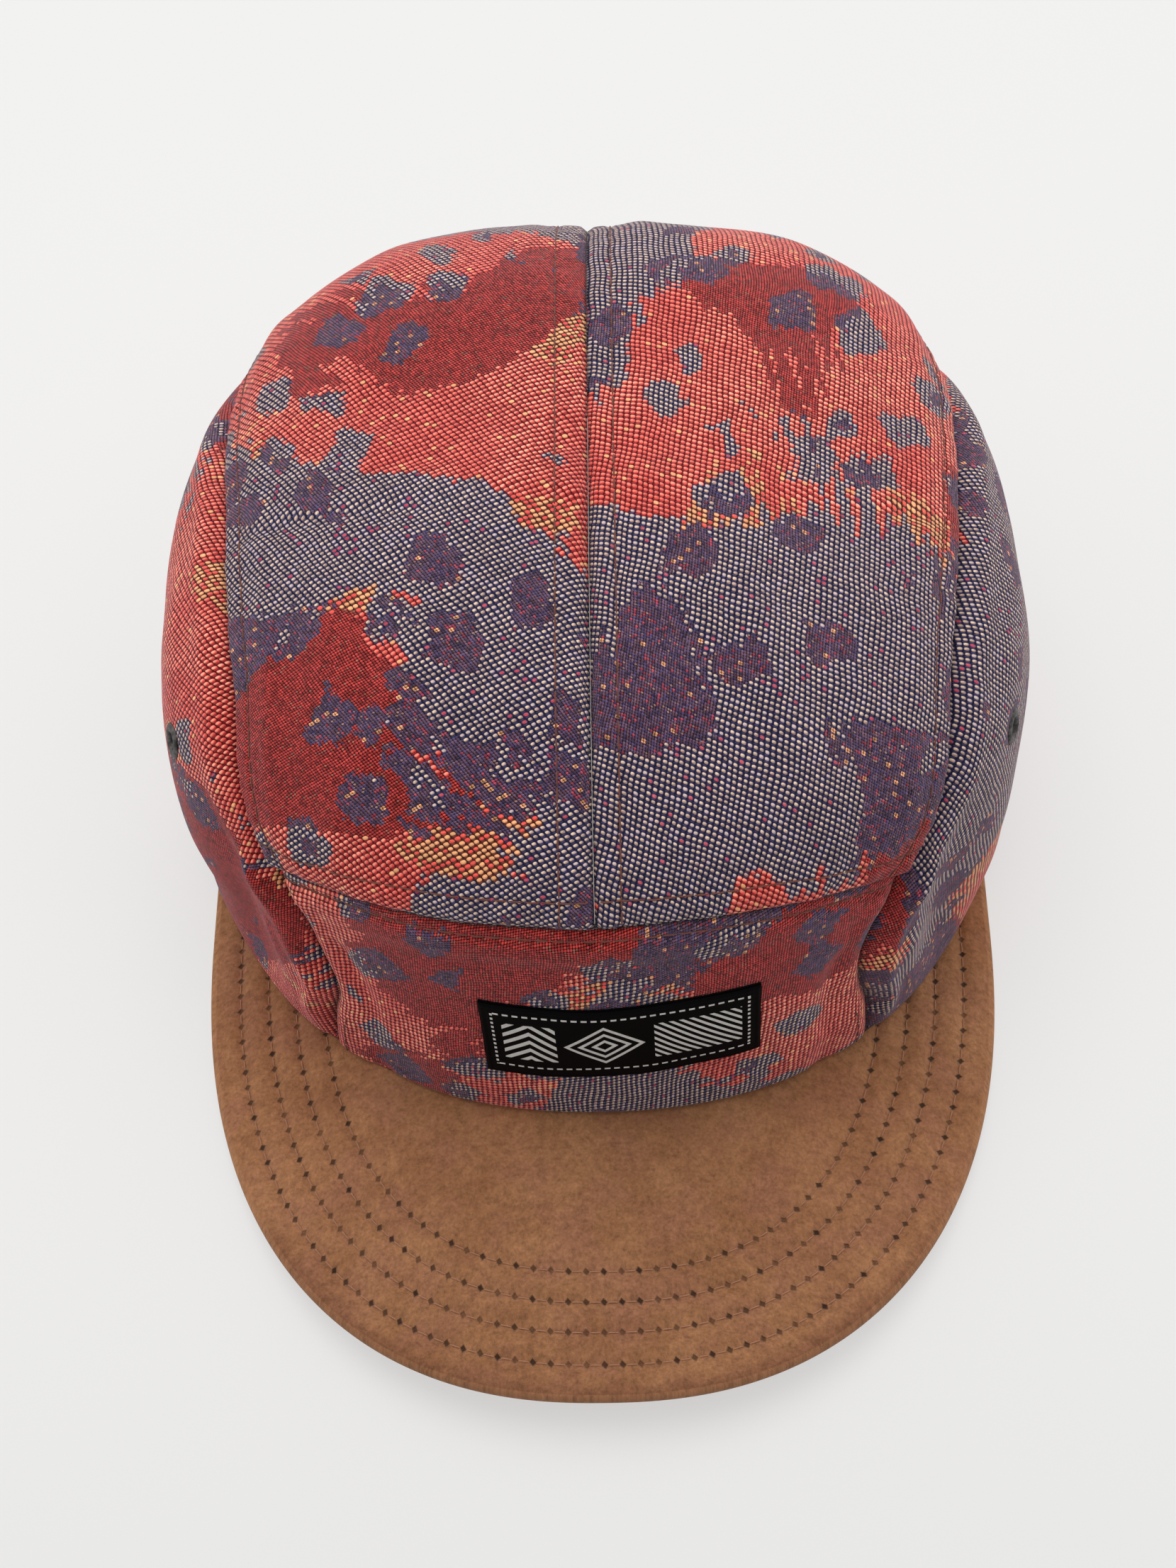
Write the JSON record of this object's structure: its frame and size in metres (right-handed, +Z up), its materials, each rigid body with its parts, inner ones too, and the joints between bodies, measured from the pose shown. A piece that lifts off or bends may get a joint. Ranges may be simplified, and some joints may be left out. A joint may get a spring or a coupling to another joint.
{
  "type": "five-panel cap",
  "caption": "Soft five-panel cap in patterned woven cloth with a stitched suede peak, a small woven front label and side eyelets.",
  "frame": {"origin": "on the table, at the middle of the cap's footprint", "axes": "+Z up, -Y towards the tip of the peak, +X to the right when the cap is seen from the front"},
  "size_m": [0.1778, 0.2448, 0.1015],
  "materials": {
    "crown_cloth": "coarse woven cloth in coral, slate, plum and cream",
    "brim_suede": "warm brown suede with tonal stitching",
    "label_weave": "fine black woven label with a pale dashed border",
    "eyelet_metal": "dull dark metal"
  },
  "bodies": {
    "root": {"front_panel": "crown_cloth", "top_panel_left": "crown_cloth", "top_panel_right": "crown_cloth", "side_panel_left": "crown_cloth", "side_panel_right": "crown_cloth", "brim": "brim_suede", "label": "label_weave", "eyelet_left": "eyelet_metal", "eyelet_right": "eyelet_metal"}
  },
  "joints": []
}
